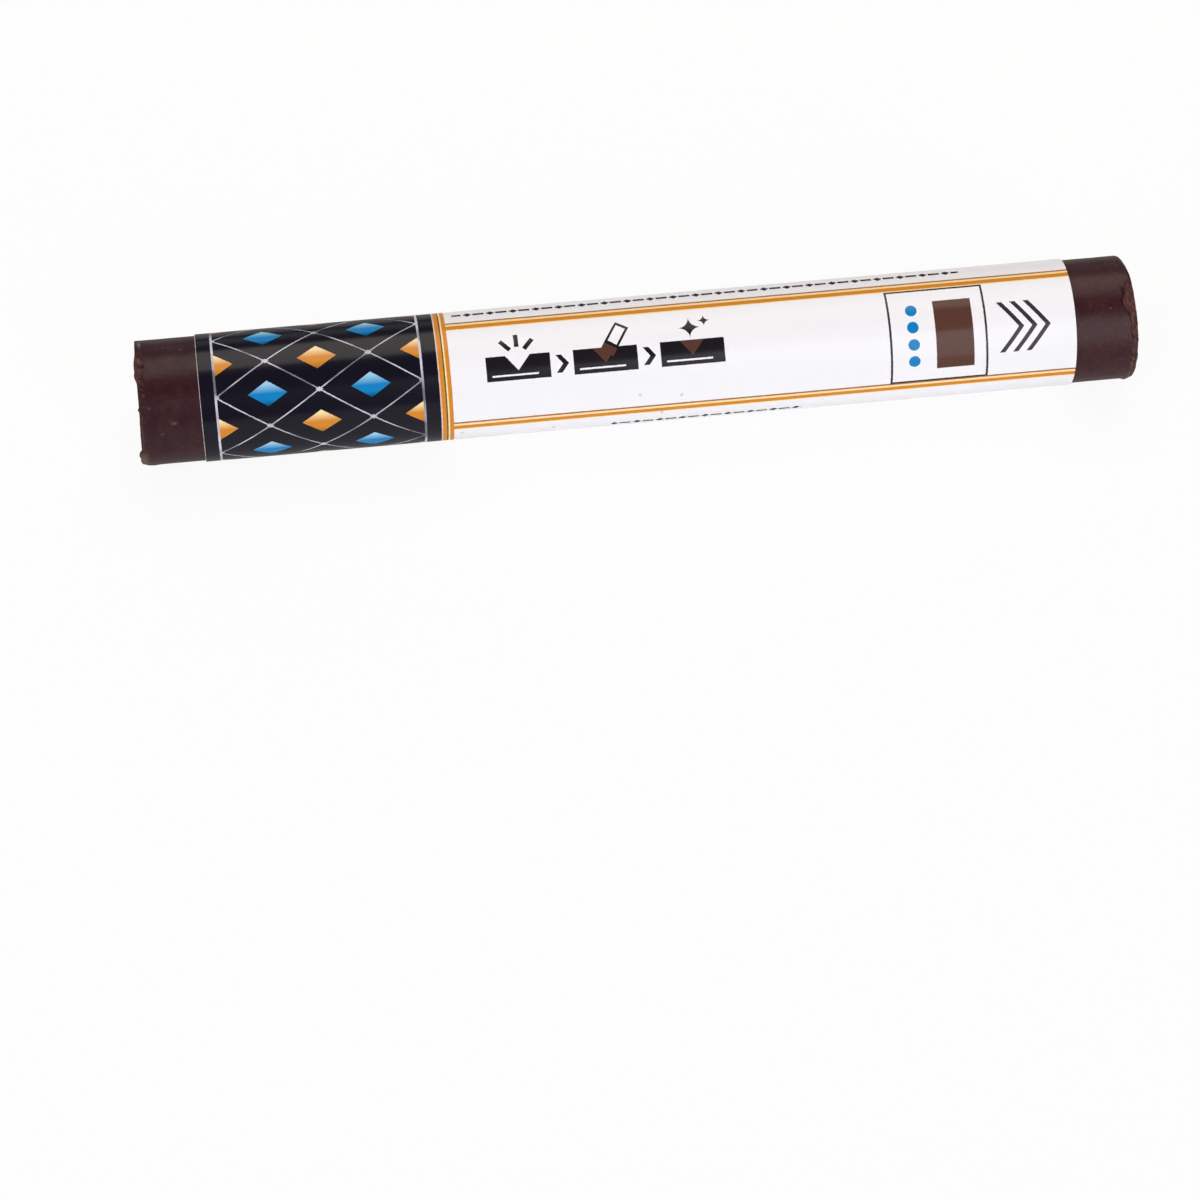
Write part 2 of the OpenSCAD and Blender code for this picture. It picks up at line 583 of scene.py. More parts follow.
def frieze(tree, look, across, up):
    """Black panel with a silver lattice, and a blue or gold lozenge in each of its cells."""
    cell_length, cell_rise, border, ring, stretch = 9.1, 5.95, 1.4, 0.1, 3.4
    # The lozenge, the lattice's line and its knots are shares of a cell.
    lozenge, line, knot = 0.19, 0.011, 0.462
    dark_below, light_above = 0.38, 0.56
    tints = (
        (look.blue_deep, look.blue, look.blue_light),
        (look.bronze, look.gold, look.cream),
    )
    middle = (LABEL_FROM + look.panel_length / 2) / MM
    off_middle = add(tree, "Math", [across, middle], operation="SUBTRACT")
    along = add(tree, "Math", [off_middle, cell_length], operation="DIVIDE")
    rise = add(tree, "Math", [up, cell_rise], operation="DIVIDE")
    diagonals = [add(tree, "Math", [along, rise], operation=kind) for kind in ("ADD", "SUBTRACT")]
    cells = [add(tree, "Math", [diagonal], operation="FLOOR") for diagonal in diagonals]
    inside = [fold(tree, "SUBTRACT", [diagonal, cell, 0.5]) for diagonal, cell in zip(diagonals, cells)]
    spread = [add(tree, "Math", [value], operation="ABSOLUTE") for value in inside]
    far = add(tree, "Math", spread, operation="MAXIMUM")
    near = add(tree, "Math", spread, operation="MINIMUM")
    row = add(tree, "Math", cells, operation="SUBTRACT")
    parity = add(tree, "Math", [row, 2], operation="FLOORED_MODULO")
    odd = add(tree, "Math", [parity, 0.5], operation="GREATER_THAN")
    height = add(tree, "Math", inside, operation="SUBTRACT")
    fills = []
    for deep, full, light in tints:
        bands = [(lozenge, deep), (lozenge, full), (1.5 * lozenge, full), (0.5 * lozenge, light)]
        fills.append(stripes(tree, height, -2 * lozenge, bands, "LINEAR"))
    lozenge_colour = add(tree, "Mix", [odd, *fills], data_type="RGBA")
    in_lozenge = add(tree, "Math", [far, lozenge], operation="LESS_THAN")
    on_line = add(tree, "Math", [far, 0.5 - line], operation="GREATER_THAN")
    on_knot = add(tree, "Math", [near, knot], operation="GREATER_THAN")
    lattice = add(tree, "Math", [on_line, on_knot], operation="MAXIMUM")
    edges = (LABEL_FROM / MM + border, (LABEL_FROM + look.panel_length) / MM - border)
    field = within(tree, across, *edges)
    rings = fold(tree, "MAXIMUM", [within(tree, across, edge - ring, edge + ring) for edge in edges])
    # Painted reflection: the silver ink is mixed darker and lighter in long stretches, as its shine would
    # change.
    spot = add(tree, "CombineXYZ", [across, up, 0.0])
    changing = {"Vector": spot, "Scale": 1 / stretch, "Detail": 1.0}
    silver_sheen_stretches = add(tree, "TexNoise", changing, noise_dimensions="2D")
    shine = add(tree, "MapRange", [silver_sheen_stretches, dark_below, light_above])
    silver = add(tree, "Mix", [shine, look.silver_dark, look.silver], data_type="RGBA")
    inked = layered(tree, look.panel_black, [(in_lozenge, lozenge_colour), (lattice, silver)])
    return layered(tree, look.panel_black, [(field, inked), (rings, silver)])


def gold_rules(tree, look, across, up):
    """White paper between two fine rules, with the double gold band that closes the panel."""
    top_rule, bottom_rule, rule_height = 5.55, -4.52, 1.05
    above = add(tree, "Math", [up, 0], operation="GREATER_THAN")
    start = add(tree, "Math", [above, top_rule - bottom_rule, bottom_rule], operation="MULTIPLY_ADD")
    down = add(tree, "Math", [start, up], operation="SUBTRACT")
    rule_bands = [(0.2, look.bronze), (0.27, look.cream), (0.46, look.gold), (0.12, look.cream)]
    rule = stripes(tree, down, 0, rule_bands)
    on_rule = within(tree, down, 0, rule_height)
    band_from = (LABEL_FROM + look.panel_length) / MM
    band_bands = [
        (0.12, linear("#e9c9c0")),
        (0.36, look.gold),
        (0.12, linear("#5a4a34")),
        (0.14, look.cream),
        (0.36, look.gold),
    ]
    band = stripes(tree, across, band_from, band_bands)
    on_band = within(tree, across, band_from, band_from + look.band_width / MM)
    return layered(tree, look.paper_white, [(on_rule, rule), (on_band, band)])


def pictograms(tree, look, under, across, up):
    """Three signs for a repair: a notched board, a stick rubbed into it, and the filled, shining board."""
    first, pitch, board_top, board_low, half_board = -10.9, 7.75, 1.45, -0.75, 2.85
    notch_low, notch_half = 0.1, 1.1
    grain_left, grain_right, grain_low, grain_top = -2.35, 1.75, -0.38, -0.22
    ray_lean, ray_half, ray_from, ray_to = 42, 0.2, 0.95, 2.15
    stick_lean, stick_half, stick_from, stick_to, tip_to = 32, 0.66, 0.1, 3.1, 0.85
    sleeve_half, sleeve_from, sleeve_to = 0.44, 1.15, 2.85
    second, third = first + pitch, first + 2 * pitch
    stick_foot = (second + 0.1, notch_low + 0.75)
    sparkles = (((third - 0.1, board_top + 1.15), 1.05), ((third + 1.25, board_top + 1.75), 0.6))
    sparkle_pinch = 0.55
    arrows_from, arrows_to = first + 0.3 * pitch, second + 0.7 * pitch
    arrow_tip, arrow_half, arrow_line = (0.35, 0.35), 0.8, 0.26

    # The boards repeat at the pitch, each with the origin in its middle.
    from_first = add(tree, "Math", [across, first], operation="SUBTRACT")
    local = add(tree, "Math", [from_first, pitch / 2, -pitch / 2], operation="WRAP")
    side = add(tree, "Math", [local], operation="ABSOLUTE")
    row = within(tree, across, first - pitch / 2, third + pitch / 2)
    plank = block(tree, local, up, -half_board, half_board, board_low, board_top)
    board = add(tree, "Math", [row, plank], operation="MULTIPLY")
    grain = block(tree, local, up, grain_left, grain_right, grain_low, grain_top)
    slope = notch_half / (board_top - notch_low)
    notch_side = add(tree, "Math", [up, slope, -slope * notch_low], operation="MULTIPLY_ADD")
    notch = add(tree, "Math", [side, notch_side], operation="LESS_THAN")
    filled = add(tree, "Math", [across, first + pitch / 2], operation="GREATER_THAN")
    filling = add(tree, "Mix", [filled, look.paper_white, look.shade_ink], data_type="RGBA")
    board_ink = layered(tree, look.key_black, [(grain, look.paper_white), (notch, filling)])

    rays = []
    for lean in (-ray_lean, 0, ray_lean):
        ray_across, ray_up = turned(tree, across, up, (first, board_top - ray_half), -lean)
        rays.append(block(tree, ray_across, ray_up, -ray_half, ray_half, ray_from, ray_to))

    stick_across, stick_up = turned(tree, across, up, stick_foot, -stick_lean)
    stick = block(tree, stick_across, stick_up, -stick_half, stick_half, stick_from, stick_to)
    sleeve = block(tree, stick_across, stick_up, -sleeve_half, sleeve_half, sleeve_from, sleeve_to)
    tip = block(tree, stick_across, stick_up, -stick_half, stick_half, stick_from, tip_to)

    stars = []
    for place, reach in sparkles:
        shares = []
        for value, centre in zip((across, up), place):
            off = add(tree, "Math", [value, centre], operation="SUBTRACT")
            distance = add(tree, "Math", [off], operation="ABSOLUTE")
            share = add(tree, "Math", [distance, reach], operation="DIVIDE")
            shares.append(add(tree, "Math", [share, sparkle_pinch], operation="POWER"))
        both = add(tree, "Math", shares, operation="ADD")
        stars.append(add(tree, "Math", [both, 1], operation="LESS_THAN"))

    # So do the arrows, with the origin between two boards.
    from_gap = add(tree, "Math", [across, first + pitch / 2], operation="SUBTRACT")
    gap_across = add(tree, "Math", [from_gap, pitch / 2, -pitch / 2], operation="WRAP")
    arrow = chevron(tree, gap_across, up, arrow_tip, arrow_half, arrow_line)
    between = within(tree, across, arrows_from, arrows_to)
    arrows = add(tree, "Math", [between, arrow], operation="MULTIPLY")
    inks = [
        (board, board_ink),
        (fold(tree, "MAXIMUM", rays), look.key_black),
        (stick, look.key_black),
        (sleeve, look.paper_white),
        (tip, look.shade_ink),
        (fold(tree, "MAXIMUM", stars), look.key_black),
        (arrows, look.key_black),
    ]
    return layered(tree, under, inks)


def shade_box(tree, look, under, across, up):
    """A ruled box with a swatch of the wax's shade and four blue dots, then arrowheads to the bare wax."""
    left, right, bottom, top, line = 22.2, 31.0, -4.58, 4.5, 0.2
    swatch_left, swatch_right, swatch_bottom, swatch_top = 26.35, 29.75, -3.2, 3.1
    pitch, radius, column = 1.55, 0.52, 24.35
    arrow_tips, arrow_middle, arrow_half, arrow_line = (34.1, 35.3, 36.5), 0.1, 2.3, 0.24
    outer = block(tree, across, up, left, right, bottom, top)
    inner = block(tree, across, up, left + line, right - line, bottom + line, top - line)
    frame_line = add(tree, "Math", [outer, inner], operation="SUBTRACT")
    swatch = block(tree, across, up, swatch_left, swatch_right, swatch_bottom, swatch_top)
    local_up = add(tree, "Math", [up, pitch, 0], operation="WRAP")
    off_up = add(tree, "Math", [local_up, pitch / 2], operation="SUBTRACT")
    off_across = add(tree, "Math", [across, column], operation="SUBTRACT")
    spot = add(tree, "CombineXYZ", [off_across, off_up, 0.0])
    reach = add(tree, "VectorMath", [spot], operation="LENGTH").node.outputs["Value"]
    disc = add(tree, "Math", [reach, radius], operation="LESS_THAN")
    four_rows = within(tree, up, -2 * pitch, 2 * pitch)
    dots = add(tree, "Math", [disc, four_rows], operation="MULTIPLY")
    arrows = [chevron(tree, across, up, (tip, arrow_middle), arrow_half, arrow_line) for tip in arrow_tips]
    inks = [
        (frame_line, look.line_grey),
        (swatch, look.shade_ink),
        (dots, look.blue),
        (fold(tree, "MAXIMUM", arrows), look.line_grey),
    ]
    return layered(tree, under, inks)


def fine_rows(tree, look, under, across, up):
    """A fine row of dashes and small lozenges in turn, above the upper rule and below the lower one."""
    period, dash_half, dash_height, diamond = 2.05, 0.5, 0.2, 0.42
    top_row, bottom_row = 6.85, -7.35
    upper_ends, lower_ends = (-16.2, 29.4), (-2.8, 14.4)
    dash_middle, lozenge_middle = 0.25 * period, 0.77 * period
    above = add(tree, "Math", [up, 0], operation="GREATER_THAN")
    below = add(tree, "Math", [up, 0], operation="LESS_THAN")
    middle = add(tree, "Math", [above, top_row - bottom_row, bottom_row], operation="MULTIPLY_ADD")
    local = add(tree, "Math", [up, middle], operation="SUBTRACT")
    height = add(tree, "Math", [local], operation="ABSOLUTE")
    place = add(tree, "Math", [across, period, 0], operation="WRAP")
    dash_ends = (dash_middle - dash_half, dash_middle + dash_half)
    dash = block(tree, place, local, *dash_ends, -dash_height, dash_height)
    off = add(tree, "Math", [place, lozenge_middle], operation="SUBTRACT")
    distance = add(tree, "Math", [off], operation="ABSOLUTE")
    spread = add(tree, "Math", [distance, height], operation="ADD")
    lozenge = add(tree, "Math", [spread, diamond], operation="LESS_THAN")
    signs = add(tree, "Math", [dash, lozenge], operation="MAXIMUM")
    rows = []
    for side, ends in ((above, upper_ends), (below, lower_ends)):
        rows.append(add(tree, "Math", [side, within(tree, across, *ends)], operation="MULTIPLY"))
    in_rows = add(tree, "Math", rows, operation="MAXIMUM")
    printed = add(tree, "Math", [signs, in_rows], operation="MULTIPLY")
    return layered(tree, under, [(printed, look.key_black)])


def tone_scale(tree, look, under, across, up):
    """A scale of wood tones on the back, with an arrow at the darkest, in a ruled frame."""
    left, bottom, top, patch, line = -10.0, 10.3, 13.6, 6.0, 0.2
    arrow_gap, arrow_half, arrow_line = 1.6, 1.3, 0.24
    woods = ("#e6c798", "#cf9f62", "#ab7440", "#7f4d2a", "#5b3320", "#3a2220")
    tones = [(patch, linear(wood)) for wood in woods]
    right = left + patch * len(tones)
    outer = block(tree, across, up, left - line, right + line, bottom - line, top + line)
    inner = block(tree, across, up, left, right, bottom, top)
    arrow_tip = (right + arrow_gap, (bottom + top) / 2)
    arrow = chevron(tree, across, up, arrow_tip, arrow_half, arrow_line)
    inks = [
        (outer, look.line_grey),
        (inner, stripes(tree, across, left, tones)),
        (arrow, look.line_grey),
    ]
    return layered(tree, under, inks)


def gloss_label_paper(look, wax):
    """Coated label paper, printed and varnished: crisp inks under an even gloss with faint orange peel."""
    wobble_size, ink_spread, margin, peel_size, crumb_strength = 0.16, 0.05, 0.05, 0.9, 0.3
    material, tree = new_material("gloss_label_paper")
    flat = add(tree, "UVMap", uv_map="print")
    wobbling = {"Vector": flat, "Scale": 1 / wobble_size, "Detail": 1.0}
    wobble = add(tree, "TexNoise", wobbling, noise_dimensions="2D")
    moved = add(tree, "Math", [wobble, ink_spread, -ink_spread / 2], operation="MULTIPLY_ADD")
    place = add(tree, "SeparateXYZ", [flat]).node.outputs
    across, up = [add(tree, "Math", [place[axis], moved], operation="ADD") for axis in ("X", "Y")]

    white = gold_rules(tree, look, across, up)
    for design in (pictograms, shade_box, fine_rows, tone_scale):
        white = design(tree, look, white, across, up)
    panel_end = (LABEL_FROM + look.panel_length) / MM
    on_panel = add(tree, "Math", [across, panel_end], operation="LESS_THAN")
    bare_edge = add(tree, "Math", [across, LABEL_FROM / MM + margin], operation="LESS_THAN")

    smudged = add(tree, "TexNoise", {**wobbling, "Detail": 2.0}, noise_dimensions="2D")
    crumbs = []
    for crumb_across, crumb_up, size in CRUMBS:
        off = add(tree, "VectorMath", [flat, (crumb_across, crumb_up, 0.0)], operation="DISTANCE")
        reach = add(tree, "Math", [smudged, 2 * size], operation="MULTIPLY")
        crumbs.append(add(tree, "Math", [off.node.outputs["Value"], reach], operation="LESS_THAN"))
    faint = add(tree, "Math", [fold(tree, "MAXIMUM", crumbs), crumb_strength], operation="MULTIPLY")
    inks = [
        (on_panel, frieze(tree, look, across, up)),
        (bare_edge, linear("#c4b6bd")),
        (faint, wax.torn_red),
    ]
    printed = layered(tree, white, inks)

    peel = add(tree, "TexNoise", {**wobbling, "Scale": 1 / peel_size}, noise_dimensions="2D")
    bump = add(tree, "Bump", {"Strength": 0.2, "Distance": 0.004 * MM, "Height": peel})
    paper = {"Base Color": printed, "Roughness": 0.6, "Specular IOR Level": 0.0}
    varnish = {"Coat Weight": 0.27, "Coat Roughness": 0.19, "Coat IOR": 1.6, "Coat Normal": bump}
    shader = add(tree, "BsdfPrincipled", {**paper, **varnish})
    add(tree, "OutputMaterial", [shader])
    return material


def cut_paper(look):
    """Uncoated edge and back of the label paper: matt fibrous white."""
    fibre_size = 0.2 * MM
    material, tree = new_material("cut_paper")
    spot = add(tree, "TexCoord").node.outputs["Object"]
    fibre = add(tree, "TexNoise", {"Vector": spot, "Scale": 1 / fibre_size, "Detail": 3.0})
    tone = add(tree, "Mix", [fibre, linear("#e2dcd8"), look.paper_white], data_type="RGBA")
    shader = add(tree, "BsdfPrincipled", {"Base Color": tone, "Roughness": 0.85})
    add(tree, "OutputMaterial", [shader])
    return material


def pigmented_wax(look):
    """Hard filler wax, cast and cut with a blade: dark brown, faintly cloudy, and painted paler towards the
    right-hand end as painted light.

    Its polished skin is a thin satin coat, which is lost where the wax is torn and shows redder."""
    cloud_size, break_size, dust_size, line_size = 1.5 * MM, 0.5 * MM, 0.28 * MM, 0.3 * MM
    crack_width, crack_shade_strength, raggedness = 0.018, 0.35, 0.24
    left_painted_light, right_painted_light, whole_skin, torn_skin = -0.06, 0.44, 0.27, 0.09
    material, tree = new_material("pigmented_wax")
    spot = add(tree, "TexCoord").node.outputs["Object"]
    marks = [add(tree, "Attribute", attribute_name=name).node for name in END_MARKS]
    torn, pale, crevice = [mark.outputs["Fac"] for mark in marks]
    cloudiness = {"Vector": spot, "Scale": 1 / cloud_size, "Detail": 6.0, "Roughness": 0.7}
    clouds = add(tree, "TexNoise", cloudiness)
    along = add(tree, "SeparateXYZ", [spot])
    # Painted light: the wax is mixed paler towards the right-hand end, where more light falls, on top of its
    # paler clouds.
    painted_end_light = add(tree, "MapRange", [along, STICK_FROM, STICK_TO, left_painted_light, right_painted_light])
    cloudy = add(tree, "MapRange", [clouds, 0.38, 0.64])
    clouds_and_painted_light = add(tree, "Math", [cloudy, painted_end_light], operation="ADD", use_clamp=True)
    fracture = add(tree, "TexNoise", {"Vector": spot, "Scale": 1 / break_size, "Detail": 3.0})
    breaks = add(tree, "MapRange", [fracture, 0.32, 0.62, 0.25, 1.0])
    broken = add(tree, "Math", [torn, breaks], operation="MULTIPLY")
    dust = add(tree, "TexNoise", {"Vector": spot, "Scale": 1 / dust_size, "Detail": 2.0})
    grains = add(tree, "MapRange", [dust, 0.54, 0.75, 0.0, 0.07])
    dusted = add(tree, "Math", [clouds_and_painted_light, grains], operation="MULTIPLY")
    # The pale mark paints bloom and crumbs, and also the painted sheen on the blade's ridges.
    patches = add(tree, "MapRange", [dust, 0.3, 0.6, 0.6, 1.0])
    pressed = add(tree, "Math", [pale, patches], operation="MULTIPLY")
    # Painted shade: dark hairlines in the torn wax, with the crevice mark, stand for shade in the cracks.
    hairline = add(tree, "Math", [fracture, 0.5, crack_width], operation="COMPARE")
    painted_crack_shade = fold(tree, "MULTIPLY", [torn, hairline, crack_shade_strength])
    layers = [
        (clouds_and_painted_light, look.wax_light),
        (broken, look.torn_red),
        (add(tree, "Math", [dusted, pressed], operation="MAXIMUM"), look.bloom),
        (add(tree, "Math", [painted_crack_shade, crevice], operation="MAXIMUM"), look.crevice),
    ]

    # Pale crumbs of bloom: many faint dots, and a few smears drawn out along the stick. Each kind has its
    # coordinates, spacing in millimetres, largest size, share of places left bare, and strength.
    stretched = add(tree, "Mapping", {"Vector": spot, "Scale": (0.45, 1.0, 1.0)})
    kinds = ((spot, 0.95, 0.12, 0.5, 0.45), (stretched, 2.4, 0.15, 0.6, 0.75))
    for vector, spacing, reach, least, strength in kinds:
        crumbs = add(tree, "TexVoronoi", {"Vector": vector, "Scale": 1 / (spacing * MM)})
        chosen = add(tree, "SeparateColor", [crumbs.node.outputs["Color"]])
        size = add(tree, "MapRange", [chosen, least, 1.0, -0.1, reach])
        ragged = add(tree, "Math", [fracture, raggedness, crumbs], operation="MULTIPLY_ADD")
        widest = add(tree, "Math", [size, raggedness / 2], operation="ADD")
        left_over = add(tree, "Math", [widest, ragged], operation="SUBTRACT")
        share = add(tree, "MapRange", [left_over, 0.0, 0.05, 0.0, strength])
        layers.append((share, look.bloom))
    colour = layered(tree, look.wax_brown, layers)

    drawn = add(tree, "Mapping", {"Vector": spot, "Scale": (0.06, 1.0, 1.0)})
    lines = add(tree, "TexNoise", {"Vector": drawn, "Scale": 1 / line_size, "Detail": 2.0})
    skin_share = add(tree, "MapRange", [torn, 0.0, 1.0, whole_skin, torn_skin])
    rough_break = add(tree, "Math", [torn, fracture], operation="MULTIPLY")
    # Each bump lies on the one before it: what is raised, how strongly, and how far in millimetres.
    bumps = ((lines, 0.35, 0.02), (clouds, 0.6, 0.05), (rough_break, 1.0, 0.08))
    under = {}
    for height, strength, distance in bumps:
        raised = {"Height": height, "Strength": strength, "Distance": distance * MM}
        normal = add(tree, "Bump", {**raised, **under})
        under = {"Normal": normal}
    body = {"Base Color": colour, "Roughness": 0.6, "Specular IOR Level": 0.0, "Normal": normal}
    skin = {"Coat Weight": skin_share, "Coat Roughness": 0.31, "Coat IOR": 1.6, "Coat Normal": normal}
    shader = add(tree, "BsdfPrincipled", {**body, **skin})
    add(tree, "OutputMaterial", [shader])
    return material


def acrylic_adhesive():
    """Pressure-sensitive acrylic adhesive: a thin, cloudy, cream film with a wet shine."""
    cloud_size = 1.2 * MM
    material, tree = new_material("acrylic_adhesive")
    spot = add(tree, "TexCoord").node.outputs["Object"]
    clouds = add(tree, "TexNoise", {"Vector": spot, "Scale": 1 / cloud_size, "Detail": 2.0})
    tone = add(tree, "Mix", [clouds, linear("#cbbf9f"), linear("#e9e1cc")], data_type="RGBA")
    sheen = add(tree, "MapRange", [clouds, 0.3, 0.7, 0.2, 0.4])
    shader = add(tree, "BsdfPrincipled", {"Base Color": tone, "Roughness": sheen, "IOR": 1.47})
    add(tree, "OutputMaterial", [shader])
    return material


def seamless_paper(stage):
    """Matt white background paper, lit to white where it is seen, which keeps the stick's soft shadow."""
    tooth_size = 3 * MM
    material, tree = new_material("seamless_paper")
    spot = add(tree, "TexCoord").node.outputs["Object"]
    tooth = add(tree, "TexNoise", {"Vector": spot, "Scale": 1 / tooth_size, "Detail": 2.0})
    tone = add(tree, "Mix", [tooth, linear("#fafafa"), stage.floor_white], data_type="RGBA")
    paper = add(tree, "BsdfDiffuse", [tone])
    glow = add(tree, "Emission", {"Color": (1.0, 1.0, 1.0, 1.0), "Strength": 1.0})
    path = add(tree, "LightPath").node.outputs
    white_to = ("Is Camera Ray", "Is Glossy Ray", "Is Transmission Ray")
    seen = fold(tree, "MAXIMUM", [path[ray] for ray in white_to])
    share = add(tree, "Math", [seen, stage.floor_glow], operation="MULTIPLY")
    add(tree, "OutputMaterial", [add(tree, "MixShader", [share, paper, glow])])
    return material


class WAXSTICK_OT_wax(bpy.types.Operator):
    """Builds the cut stick of wax, with its torn left-hand rim and its chipped right-hand rim."""

    bl_idname = "waxstick.wax"
    bl_label = "Wax Stick"

    def execute(self, context):
        look = context.scene.wax_stick_wax
        label = context.scene.wax_stick_label
        radius = BARREL_R - label.paper_t - label.adhesive_t
        left, right = STICK_FROM + look.burr_height, STICK_TO
        rim, under, same_place = 1.2 * MM, 0.5 * MM, 0.001 * MM
        chip_zone = look.chip_length * 1.5

        # A station is a place along the stick, a distance from its axis, and the cuts in the edge after it.
        stations = (
            (left, 0, 40),
            (left, radius - rim, 15),
            (left, radius, 15),
            (left + rim, radius, 48),
            (LABEL_FROM + under, radius, 12),
            (LABEL_TO - under, radius, 40),
            (right - chip_zone, radius, 22),
            (right, radius, 15),
            (right, radius - rim, 40),
            (right, 0, 0),
        )
        bm = bmesh.new()
        layers = [bm.verts.layers.float.new(name) for name in END_MARKS]
        corners = [bm.verts.new((x, 0, AXIS_Z + r)) for x, r, cuts in stations]
        edges = [bm.edges.new(pair) for pair in zip(corners, corners[1:])]
        for edge, (x, r, cuts) in zip(edges, stations):
            bmesh.ops.subdivide_edges(bm, edges=[edge], cuts=cuts)
        bmesh.ops.spin(
            bm,
            geom=bm.verts[:] + bm.edges[:],
            cent=(0, 0, AXIS_Z),
            axis=(1, 0, 0),
            angle=math.tau,
            steps=look.steps,
            use_merge=True,
        )
        bmesh.ops.remove_doubles(bm, verts=bm.verts[:], dist=same_place)
        bmesh.ops.recalc_face_normals(bm, faces=bm.faces[:])
        for vert in bm.verts:
            if vert.co.x < 0:
                vert.co, marks = self.torn_end(vert.co, look, left, radius)
            else:
                vert.co, marks = self.chipped_end(vert.co, look, right, radius)
            for layer, mark in zip(layers, marks):
                vert[layer] = mark
        new_piece("wax", bm, [pigmented_wax(look)], "wax_stick")
        return {"FINISHED"}

    def cut_face(self, point, look, radius, snap_angle, along, across):
        """How far a point of a cut end stands proud, and its torn, pale and crevice marks.

        The blade went along one axis of the end, and its marks bow a little. In a crescent on one side the
        rest of the wax snapped off, which left it rough."""
        distance, angle = polar(point)[1:]
        inner = smooth((radius - distance) / FACE_MARGIN)
        towards_snap = distance / radius * math.cos(math.radians(angle - snap_angle)) - SNAP_EDGE
        snapped = smooth((towards_snap + unevenness(point, SNAP_WANDER)) / SNAP_SLOPE)
        place = across + BLADE_BEND * along**2
        broad = unevenness(Vector((along * BROAD_DRAW, place, 0)), BLADE_BROAD)
        fine = unevenness(Vector((along * FINE_DRAW, place, 0)), BLADE_FINE)
        drag = (broad + fine) * (1 - snapped)
        rough = relief(point, SNAP_FACETS) * snapped + relief(point, FACE_CRUMBLE)
        proud = inner * (look.blade_marks * drag - look.snap_depth * snapped + rough)
        torn = FACE_TORN + SNAP_TORN * snapped * inner
        # Painted sheen on the blade's ridges; painted shade in its grooves and in the crack along the snap.
        pale = RIDGE_SHEEN * inner * smooth(BLADE_CONTRAST * drag - BLADE_LEVEL)
        groove = GROOVE_SHADE * smooth(-BLADE_CONTRAST * drag - BLADE_LEVEL)
        crack = SNAP_CRACK_SHADE * bell(towards_snap, SNAP_CRACK) * snapped
        return proud, torn, pale, inner * max(groove, crack)

    def torn_end(self, point, look, left, radius):
        """Where a point of the plain cylinder goes at the left-hand end, and its marks there."""
        across, distance, angle = polar(point)
        rim = on_stick(0, radius, angle)
        back, inward = across - left, radius - distance
        smeared = plateau(angle, *SMEAR)
        streak = plateau(angle, *TORN_STREAK)
        corner = look.edge_rounding + look.smear_rounding * smeared
        x, r = rim_cut(point, left, radius, corner, corner, 1)[:2]
        rags = unevenness(rim, LIP_RAGS)
        ragged = 0.5 + rags
        lip = max(share * hump(angle, place, half) for place, half, share in TORN_LIPS)
        height = look.lip_height * lip * (1 + LIP_UNEVEN * rags)
        if back < ON_END:
            tip = 1 - (1 - LIP_SIDE) * smooth(1 - inward / LIP_TIP)
            crest = tip * smooth(1 - inward / look.lip_width)
            face = self.cut_face(point, look, radius, LEFT_SNAP, point.y, point.z - AXIS_Z)
            proud, torn, pale, crevice = face
            marks = (max(torn, LEFT_FACE_TORN + LIP_TORN * crest * streak), pale, crevice)
            return on_stick(x - height * crest - proud, r, angle), marks
        drag = smooth(1 - back / LIP_DRAG)
        x -= height * (LIP_SIDE + (1 - LIP_SIDE) * smeared) * drag
        x += relief(rim, RIM_WAVES) * drag
        tear_width = TEAR_WIDTH + relief(rim, TEAR_RAGS)
        tear = streak * smooth(TEAR_GONE - abs(back - TEAR_PLACE) / tear_width)
        cracks = abs(unevenness(point, TEAR_CRACKS))
        crevice = marked(angle, back, LEFT_CREVICES)
        pale = marked(angle, back, LEFT_PALE)
        r -= look.tear_depth * tear * (TEAR_LEAST + ragged) * (1 - cracks)
        r += ROLL_HEIGHT * smeared * smooth(1 - abs(back - ROLL_PLACE) / ROLL_REACH)
        r += relief(point, SKIN_WAVES) + relief(point, TORN_CRUMBLE) * drag
        r += SPECK_HEIGHT * pale - CRACK_DEPTH * crevice
        blob = hump(angle, *BLOB) * smooth(BLOB_GONE - back / BLOB_REACH)
        torn = max(STREAK_TORN * tear, RAGS_TORN * drag * ragged, BLOB_TORN * blob)
        return on_stick(x, r, angle), (torn, pale, crevice)

    def chipped_end(self, point, look, right, radius):
        """Where a point of the plain cylinder goes at the right-hand end, and its marks there."""
        across, distance, angle = polar(point)
        rim = on_stick(0, radius, angle)
        ahead = right - across
        jagged = angle + unevenness(rim, CHIP_JAGS) + unevenness(rim, CHIP_FINE_JAGS)
        nose = hump(angle, *NOSE)
        length = depth = look.rim_rounding + SOFT_ROUNDING * max(nose, hump(angle, *ROUNDED_BACK))
        chip = 0
        for place, half, length_share, depth_share in RIM_CHIPS:
            nearness = plateau(jagged, place, half)
            chip = max(chip, nearness)
            length = max(length, look.chip_length * nearness * length_share)
            depth = max(depth, look.chip_depth * nearness * depth_share)
        chip *= 1 - nose
        x, r, share = rim_cut(point, right, radius, length, depth, 1 - CHIP_HOLLOW * chip)
        lean = look.end_lean * math.cos(math.radians(angle)) * distance / radius
        x += lean * smooth(1 - ahead / LEAN_REACH)
        r += look.nose_height * nose * smooth(1 - abs(ahead - NOSE_PLACE) / NOSE_REACH)
        if share is not None:
            crevice = marked(jagged, ahead, RIGHT_CREVICES)
            pale = marked(jagged, ahead, RIGHT_PALE)
            facets = chip * relief(point, CHIP_FACETS) + relief(point, CHIP_CRUMBLE)
            rough = facets * math.sin(math.pi * share)
